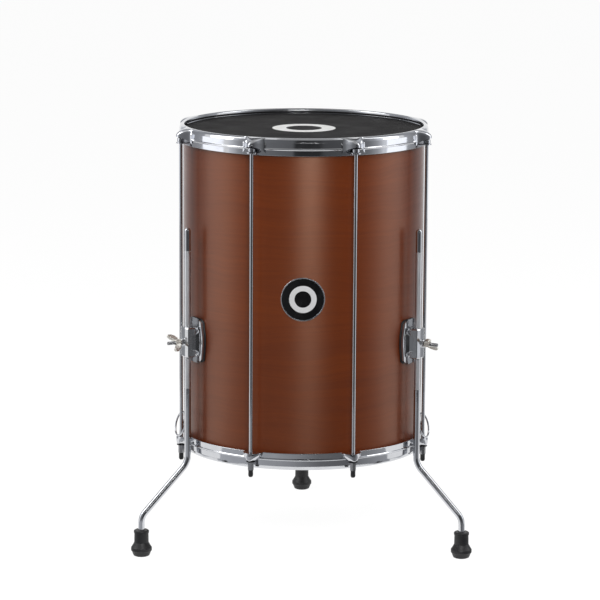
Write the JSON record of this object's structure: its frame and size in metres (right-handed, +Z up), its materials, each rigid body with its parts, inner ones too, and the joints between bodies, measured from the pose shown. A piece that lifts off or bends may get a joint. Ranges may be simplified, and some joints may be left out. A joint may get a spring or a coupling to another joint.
{
  "type": "floor surdo drum",
  "caption": "Deep two-headed bass drum with a wooden shell, tensioned by full-length rods between two hoops, standing on splayed clamp-on legs.",
  "frame": {"origin": "on the floor, under the middle of the bounding box; the drum axis stands 57.7 mm in front of it, at -Y", "axes": "+Z up along the drum axis, -Y to the front where the badge is, +X to the right of one who faces the badge"},
  "size_m": [0.573, 0.5408, 0.715],
  "materials": {
    "stained_wood": "reddish-brown stain under satin varnish, fine horizontal grain",
    "black_skin": "black leather-like skin with a fine pebble",
    "clear_skin": "milky film",
    "chrome": "bright chrome plating",
    "dull_steel": "zinc-plated steel",
    "black_rubber": "moulded black rubber",
    "badge_enamel": "gloss black enamel with a bright rim, left bare"
  },
  "bodies": {
    "drum": {"shell": "stained_wood", "badge": "badge_enamel", "batter_head": "black_skin", "batter_flesh_hoop": "dull_steel", "top_hoop": "chrome", "resonant_head": "clear_skin", "resonant_flesh_hoop": "dull_steel", "bottom_hoop": "chrome", "tension_rod_1": "chrome", "rod_cap_1": "black_rubber", "tension_rod_2": "chrome", "rod_cap_2": "black_rubber", "tension_rod_3": "chrome", "rod_cap_3": "black_rubber", "tension_rod_4": "chrome", "rod_cap_4": "black_rubber", "tension_rod_5": "chrome", "rod_cap_5": "black_rubber", "tension_rod_6": "chrome", "rod_cap_6": "black_rubber", "tension_rod_7": "chrome", "rod_cap_7": "black_rubber", "tension_rod_8": "chrome", "rod_cap_8": "black_rubber", "bracket_gasket_rear": "black_rubber", "leg_bracket_rear": "chrome", "bracket_screw_rear_upper": "dull_steel", "bracket_screw_rear_lower": "dull_steel", "bracket_gasket_left": "black_rubber", "leg_bracket_left": "chrome", "bracket_screw_left_upper": "dull_steel", "bracket_screw_left_lower": "dull_steel", "bracket_gasket_right": "black_rubber", "leg_bracket_right": "chrome", "bracket_screw_right_upper": "dull_steel", "bracket_screw_right_lower": "dull_steel"},
    "nut_1": {"tension_nut_1": "dull_steel"},
    "nut_2": {"tension_nut_2": "dull_steel"},
    "nut_3": {"tension_nut_3": "dull_steel"},
    "nut_4": {"tension_nut_4": "dull_steel"},
    "nut_5": {"tension_nut_5": "dull_steel"},
    "nut_6": {"tension_nut_6": "dull_steel"},
    "nut_7": {"tension_nut_7": "dull_steel"},
    "nut_8": {"tension_nut_8": "dull_steel"},
    "leg_assembly_rear": {"leg_rear": "chrome", "foot_rear": "black_rubber"},
    "eye_rear": {"eye_bolt_rear": "dull_steel"},
    "wing_rear": {"wing_nut_rear": "chrome"},
    "leg_assembly_left": {"leg_left": "chrome", "foot_left": "black_rubber"},
    "eye_left": {"eye_bolt_left": "dull_steel"},
    "wing_left": {"wing_nut_left": "chrome"},
    "leg_assembly_right": {"leg_right": "chrome", "foot_right": "black_rubber"},
    "eye_right": {"eye_bolt_right": "dull_steel"},
    "wing_right": {"wing_nut_right": "chrome"},
    "ring_right": {"strap_ring_right": "chrome"},
    "ring_left": {"strap_ring_left": "chrome"}
  },
  "joints": [
    {"name": "nut_1_turn", "type": "hinge", "parent": "drum", "child": "nut_1", "pos_m": [0.08476, -0.26239, 0.16935], "axis": [0, 0, 1], "continuous": true},
    {"name": "nut_2_turn", "type": "hinge", "parent": "drum", "child": "nut_2", "pos_m": [0.20464, -0.14251, 0.16935], "axis": [0, 0, 1], "continuous": true},
    {"name": "nut_3_turn", "type": "hinge", "parent": "drum", "child": "nut_3", "pos_m": [0.20464, 0.02702, 0.16935], "axis": [0, 0, 1], "continuous": true},
    {"name": "nut_4_turn", "type": "hinge", "parent": "drum", "child": "nut_4", "pos_m": [0.08476, 0.14689, 0.16935], "axis": [0, 0, 1], "continuous": true},
    {"name": "nut_5_turn", "type": "hinge", "parent": "drum", "child": "nut_5", "pos_m": [-0.08476, 0.14689, 0.16935], "axis": [0, 0, 1], "continuous": true},
    {"name": "nut_6_turn", "type": "hinge", "parent": "drum", "child": "nut_6", "pos_m": [-0.20464, 0.02702, 0.16935], "axis": [0, 0, 1], "continuous": true},
    {"name": "nut_7_turn", "type": "hinge", "parent": "drum", "child": "nut_7", "pos_m": [-0.20464, -0.14251, 0.16935], "axis": [0, 0, 1], "continuous": true},
    {"name": "nut_8_turn", "type": "hinge", "parent": "drum", "child": "nut_8", "pos_m": [-0.08476, -0.26239, 0.16935], "axis": [0, 0, 1], "continuous": true},
    {"name": "leg_rear_height", "type": "slide", "parent": "drum", "child": "leg_assembly_rear", "axis": [0, 0, 1], "range_m": [-0.12, 0.15]},
    {"name": "wing_rear_turn", "type": "hinge", "parent": "drum", "child": "wing_rear", "pos_m": [0, 0.18335, 0.359], "axis": [0, 1, 0], "range_deg": [0, 220]},
    {"name": "eye_rear_draw", "type": "slide", "parent": "drum", "child": "eye_rear", "axis": [0, 1, 0], "range_m": [-0.000623, 0]},
    {"name": "leg_left_height", "type": "slide", "parent": "drum", "child": "leg_assembly_left", "axis": [0, 0, 1], "range_m": [-0.12, 0.15]},
    {"name": "wing_left_turn", "type": "hinge", "parent": "drum", "child": "wing_left", "pos_m": [-0.2088, -0.1783, 0.359], "axis": [-0.866, -0.5, 0], "range_deg": [0, 220]},
    {"name": "eye_left_draw", "type": "slide", "parent": "drum", "child": "eye_left", "axis": [-0.866, -0.5, 0], "range_m": [-0.000623, 0]},
    {"name": "leg_right_height", "type": "slide", "parent": "drum", "child": "leg_assembly_right", "axis": [0, 0, 1], "range_m": [-0.12, 0.15]},
    {"name": "wing_right_turn", "type": "hinge", "parent": "drum", "child": "wing_right", "pos_m": [0.2088, -0.1783, 0.359], "axis": [0.866, -0.5, 0], "range_deg": [0, 220]},
    {"name": "eye_right_draw", "type": "slide", "parent": "drum", "child": "eye_right", "axis": [0.866, -0.5, 0], "range_m": [-0.000623, 0]},
    {"name": "strap_ring_right_swing", "type": "hinge", "parent": "drum", "child": "ring_right", "pos_m": [0.21083, -0.14508, 0.1924], "axis": [0.3827, 0.9239, 0], "range_deg": [-18, 0]},
    {"name": "strap_ring_left_swing", "type": "hinge", "parent": "drum", "child": "ring_left", "pos_m": [-0.21083, -0.14508, 0.1924], "axis": [0.3827, -0.9239, 0], "range_deg": [-18, 0]}
  ],
  "couplings": [
    {"joint": "eye_rear_draw", "follows": "wing_rear_turn", "m_per_rad": -0.00015915},
    {"joint": "eye_left_draw", "follows": "wing_left_turn", "m_per_rad": -0.00015915},
    {"joint": "eye_right_draw", "follows": "wing_right_turn", "m_per_rad": -0.00015915}
  ]
}
